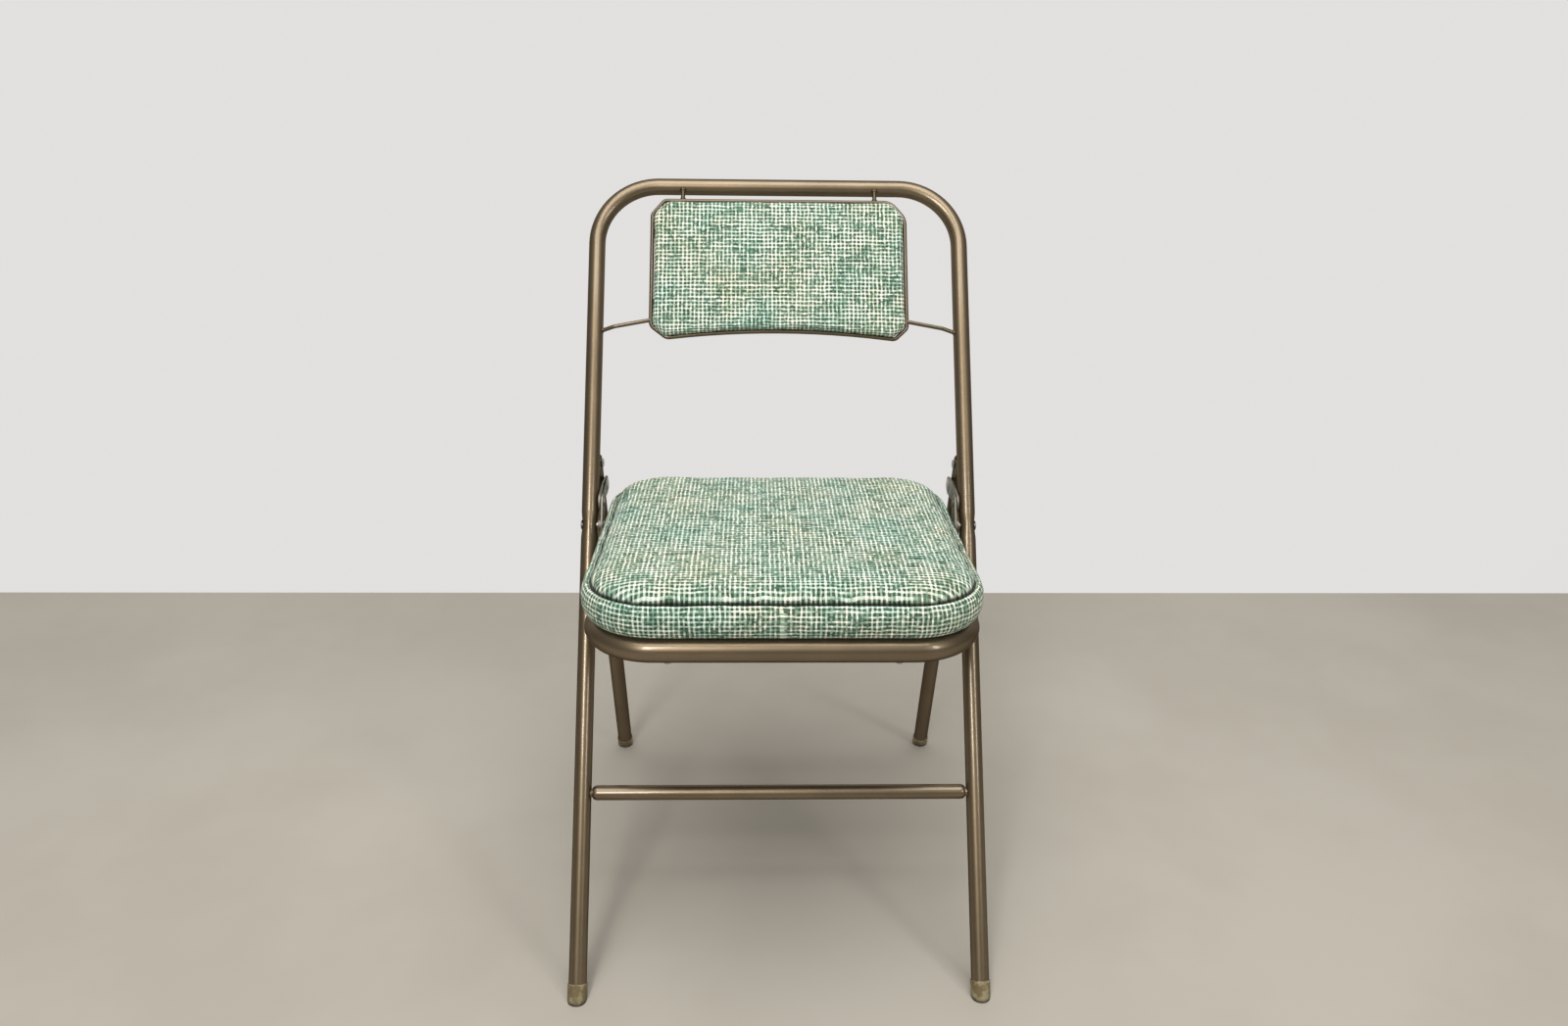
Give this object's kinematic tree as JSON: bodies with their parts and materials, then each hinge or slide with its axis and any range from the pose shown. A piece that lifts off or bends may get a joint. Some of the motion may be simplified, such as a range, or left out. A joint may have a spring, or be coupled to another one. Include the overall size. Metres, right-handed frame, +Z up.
{
  "type": "folding chair",
  "caption": "Folding chair of bent steel tube with an upholstered square seat and a small upholstered back pad held in a wire loop.",
  "frame": {"origin": "centre of the chair's footprint box, on the floor", "axes": "+Z up; the open chair faces -Y, and +X is to the right for a person looking at its front"},
  "size_m": [0.4508, 0.503, 0.7909],
  "materials": {
    "bronze_paint": "satin-gloss metallic bronze enamel",
    "zinc": "bright zinc plate, a little dulled",
    "foot_cap": "matte olive-tan plastic, scuffed",
    "cloth": "coarse plain weave in sea greens with cream slubs",
    "board": "bare pressed board",
    "dust_cloth": "thin black cloth"
  },
  "bodies": {
    "front_frame": {"front_frame_tube": "bronze_paint", "front_stretcher": "bronze_paint", "back_wire_loop": "bronze_paint", "back_post_left": "bronze_paint", "back_post_right": "bronze_paint", "back_side_wire_left": "bronze_paint", "back_side_wire_right": "bronze_paint", "pad_tab_lower_left": "bronze_paint", "pad_tab_lower_right": "bronze_paint", "pad_tab_upper_left": "bronze_paint", "pad_tab_upper_right": "bronze_paint", "leg_hinge_tab_left": "bronze_paint", "leg_hinge_tab_right": "bronze_paint", "pad_screw_lower_left": "zinc", "pad_screw_lower_right": "zinc", "pad_screw_upper_left": "zinc", "pad_screw_upper_right": "zinc", "leg_rivet_left": "zinc", "leg_rivet_right": "zinc", "seat_rivet_left": "zinc", "seat_rivet_right": "zinc", "seat_washer_left": "zinc", "seat_washer_right": "zinc", "back_pad": "cloth", "back_board": "board", "front_foot_left": "foot_cap", "front_foot_right": "foot_cap"},
    "seat": {"seat_rail": "bronze_paint", "bracket_pad_left": "bronze_paint", "bracket_pad_right": "bronze_paint", "board_screw_1": "zinc", "board_screw_2": "zinc", "board_screw_3": "zinc", "board_screw_4": "zinc", "seat_bracket_left": "zinc", "seat_bracket_right": "zinc", "link_pin_left": "zinc", "link_pin_right": "zinc", "seat_cushion": "cloth", "seat_board": "board", "seat_dust_cover": "dust_cloth"},
    "rear_legs": {"rear_leg_left": "bronze_paint", "rear_leg_right": "bronze_paint", "rear_stretcher": "bronze_paint", "rear_foot_left": "foot_cap", "rear_foot_right": "foot_cap"},
    "link_left": {"link_left": "zinc", "link_rivet_left": "zinc"},
    "link_right": {"link_right": "zinc", "link_rivet_right": "zinc"}
  },
  "joints": [
    {"name": "seat_fold", "type": "hinge", "parent": "front_frame", "child": "seat", "pos_m": [0, 0.02282, 0.43335], "axis": [1, 0, 0], "range_deg": [0, 56.8]},
    {"name": "rear_leg_fold", "type": "hinge", "parent": "front_frame", "child": "rear_legs", "pos_m": [0, 0.08135, 0.48701], "axis": [-1, 0, 0], "range_deg": [0, 46.2]},
    {"name": "link_left_swing", "type": "hinge", "parent": "seat", "child": "link_left", "pos_m": [0, 0.03459, 0.4568], "axis": [-1, 0, 0], "range_deg": [0, 53.86]},
    {"name": "link_right_swing", "type": "hinge", "parent": "seat", "child": "link_right", "pos_m": [0, 0.03459, 0.4568], "axis": [-1, 0, 0], "range_deg": [0, 53.86]}
  ],
  "couplings": [
    {"joint": "rear_leg_fold", "follows": "seat_fold", "ratio": 0.81338},
    {"joint": "link_left_swing", "follows": "seat_fold", "ratio": 0.94827},
    {"joint": "link_right_swing", "follows": "seat_fold", "ratio": 0.94827}
  ]
}
